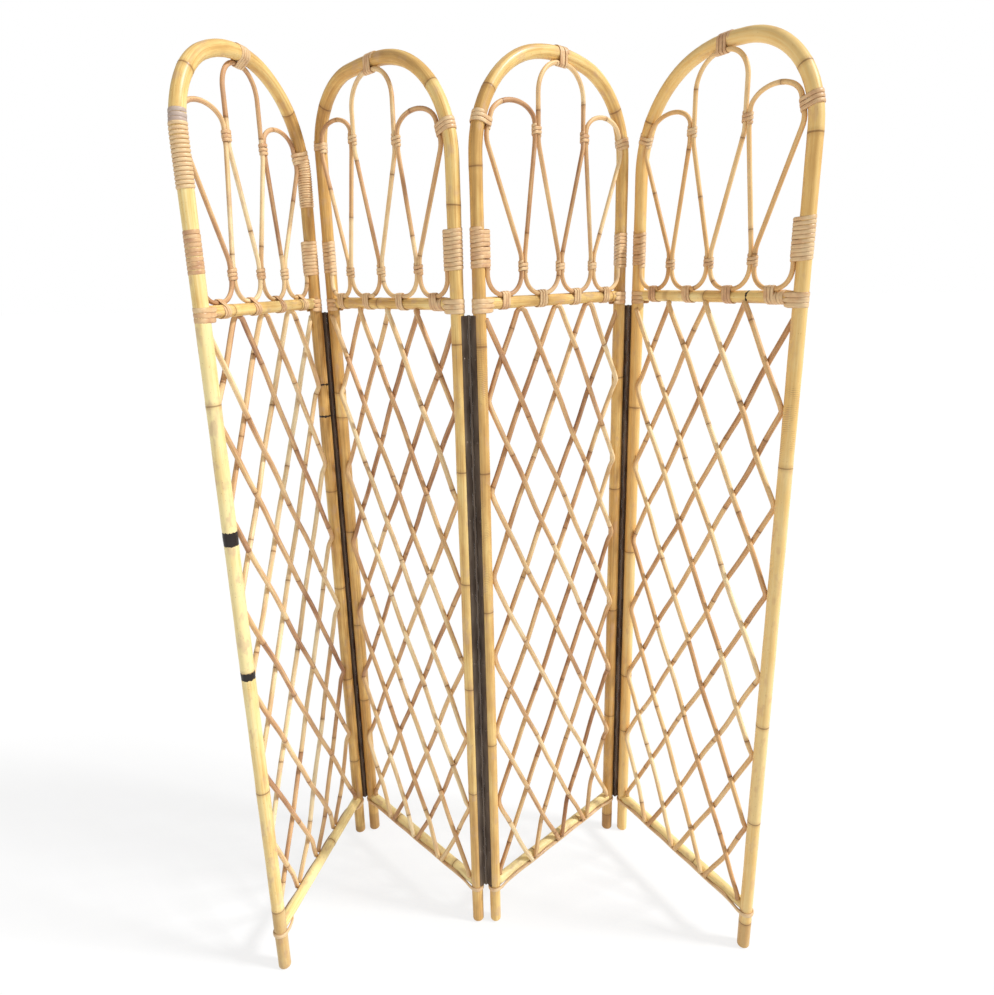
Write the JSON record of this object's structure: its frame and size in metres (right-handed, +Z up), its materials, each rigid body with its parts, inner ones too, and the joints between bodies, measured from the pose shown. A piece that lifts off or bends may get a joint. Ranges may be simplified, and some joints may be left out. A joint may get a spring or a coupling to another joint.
{
  "type": "folding screen",
  "caption": "Rattan folding screen: arched cane panels with looped tops and a diamond lattice below, hinged edge to edge so that they stand in a zigzag.",
  "frame": {"origin": "on the floor, under the middle of the row of panels as it stands folded", "axes": "+Z up, +X along the row to the viewer's right, +Y away from the viewer of the picture"},
  "size_m": [1.0168, 0.4348, 1.802],
  "materials": {
    "rattan_pole": "clear lacquer over whole cane",
    "rattan_rod": "clear lacquer over thin cane",
    "split_cane": "satin split cane",
    "hinge_steel": "dark brown, slightly rusted",
    "nail_steel": "dulled wire nail"
  },
  "bodies": {
    "panel_1": {"panel_1_hoop": "rattan_pole", "panel_1_mid_rail": "rattan_pole", "panel_1_bottom_rail": "rattan_pole", "panel_1_loop_rod": "rattan_rod", "panel_1_lattice_rods": "rattan_rod", "panel_1_pole_wraps": "split_cane", "panel_1_loop_ties": "split_cane", "panel_1_rail_ties": "split_cane", "panel_1_joint_straps": "split_cane", "panel_1_foot_binding": "split_cane", "panel_1_rail_nails": "nail_steel", "panel_1_hinge_screws": "hinge_steel", "hinge_1_left_leaf": "hinge_steel"},
    "panel_2": {"panel_2_hoop": "rattan_pole", "panel_2_mid_rail": "rattan_pole", "panel_2_bottom_rail": "rattan_pole", "panel_2_loop_rod": "rattan_rod", "panel_2_lattice_rods": "rattan_rod", "panel_2_pole_wraps": "split_cane", "panel_2_loop_ties": "split_cane", "panel_2_rail_ties": "split_cane", "panel_2_joint_straps": "split_cane", "panel_2_foot_binding": "split_cane", "panel_2_rail_nails": "nail_steel", "panel_2_hinge_screws": "hinge_steel", "hinge_1_right_leaf": "hinge_steel", "hinge_1_pin": "hinge_steel", "hinge_2_left_leaf": "hinge_steel", "hinge_2_pin": "hinge_steel"},
    "panel_3": {"panel_3_hoop": "rattan_pole", "panel_3_mid_rail": "rattan_pole", "panel_3_bottom_rail": "rattan_pole", "panel_3_loop_rod": "rattan_rod", "panel_3_lattice_rods": "rattan_rod", "panel_3_pole_wraps": "split_cane", "panel_3_loop_ties": "split_cane", "panel_3_rail_ties": "split_cane", "panel_3_joint_straps": "split_cane", "panel_3_foot_binding": "split_cane", "panel_3_rail_nails": "nail_steel", "panel_3_hinge_screws": "hinge_steel", "hinge_2_right_leaf": "hinge_steel", "hinge_3_left_leaf": "hinge_steel", "hinge_3_pin": "hinge_steel"},
    "panel_4": {"panel_4_hoop": "rattan_pole", "panel_4_mid_rail": "rattan_pole", "panel_4_bottom_rail": "rattan_pole", "panel_4_loop_rod": "rattan_rod", "panel_4_lattice_rods": "rattan_rod", "panel_4_pole_wraps": "split_cane", "panel_4_loop_ties": "split_cane", "panel_4_rail_ties": "split_cane", "panel_4_joint_straps": "split_cane", "panel_4_foot_binding": "split_cane", "panel_4_rail_nails": "nail_steel", "panel_4_hinge_screws": "hinge_steel", "hinge_3_right_leaf": "hinge_steel"}
  },
  "joints": [
    {"name": "panel_1_swing", "type": "hinge", "parent": "panel_2", "child": "panel_1", "pos_m": [-0.37832, 0.2033, 0.726], "axis": [0, 0, 1], "range_deg": [-123, 47]},
    {"name": "panel_3_swing", "type": "hinge", "parent": "panel_2", "child": "panel_3", "pos_m": [-0.06063, -0.09633, 0.726], "axis": [0, 0, 1], "range_deg": [-90, 80]},
    {"name": "panel_4_swing", "type": "hinge", "parent": "panel_3", "child": "panel_4", "pos_m": [0.27719, 0.18041, 0.726], "axis": [0, 0, 1], "range_deg": [-66, 104]}
  ]
}
